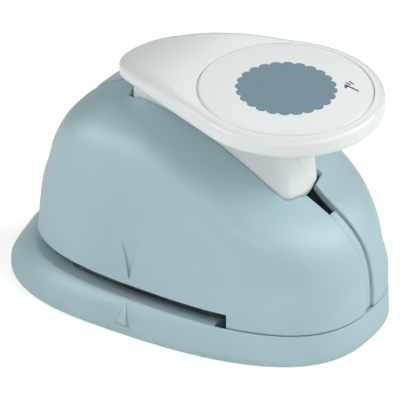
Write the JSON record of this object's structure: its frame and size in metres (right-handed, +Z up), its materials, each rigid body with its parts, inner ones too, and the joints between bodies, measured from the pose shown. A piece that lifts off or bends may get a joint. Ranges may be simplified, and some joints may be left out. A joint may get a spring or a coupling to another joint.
{
  "type": "scalloped circle punch",
  "caption": "Lever-action paper punch that cuts a scalloped circle: wide base, domed two-shell body, low paper mouth and a pivoting lever with a round thumb pad.",
  "frame": {"origin": "centre of the underside of the base's cover, in the middle of the bounding box", "axes": "+X from the paper mouth to the thumb pad, +Z up, -Y the near side with the alignment marks"},
  "size_m": [0.1017, 0.0634, 0.066],
  "materials": {
    "body_plastic": "satin moulded ABS, pale grey blue",
    "cover_plastic": "fine-textured polypropylene, darker grey blue",
    "black_plastic": "glass-filled nylon, black",
    "lever_plastic": "satin moulded ABS, off-white",
    "ground_steel": "hardened and ground tool steel",
    "zinc_steel": "zinc-plated mild steel",
    "spring_steel": "drawn spring steel"
  },
  "bodies": {
    "root": {"base": "body_plastic", "bottom_cover": "cover_plastic", "cover_screws": "zinc_steel", "housing_near": "body_plastic", "housing_far": "body_plastic", "housing_screws": "zinc_steel", "die_plate": "ground_steel", "paper_spacer": "ground_steel", "guide_plate": "ground_steel", "die_screws": "zinc_steel", "plate_screws": "zinc_steel", "guide_post_front": "ground_steel", "guide_post_rear": "ground_steel", "post_clips": "spring_steel", "side_cheek_near": "zinc_steel", "side_cheek_far": "zinc_steel", "cheek_screws": "zinc_steel", "pivot_pin": "ground_steel", "pivot_clips": "spring_steel", "return_spring_front": "spring_steel", "return_spring_rear": "spring_steel"},
    "lever_arm": {"lever": "lever_plastic", "pad_disc": "lever_plastic", "push_pin": "ground_steel"},
    "ram": {"plunger": "black_plastic", "strike_pad": "ground_steel", "punch_cutter": "ground_steel", "cutter_screws": "zinc_steel"}
  },
  "joints": [
    {"name": "lever_hinge", "type": "hinge", "parent": "root", "child": "lever_arm", "pos_m": [-0.014, 0, 0.045], "axis": [0, 1, 0], "range_deg": [0, 20], "stiffness_Nm_per_rad": 0.35, "springref_deg": -3.44},
    {"name": "ram_slide", "type": "slide", "parent": "root", "child": "ram", "axis": [0, 0, -1], "range_m": [0, 0.0037], "deforming": ["return_spring_front", "return_spring_rear"]}
  ],
  "couplings": [
    {"joint": "ram_slide", "follows": "lever_hinge", "m_per_rad": 0.0105}
  ]
}
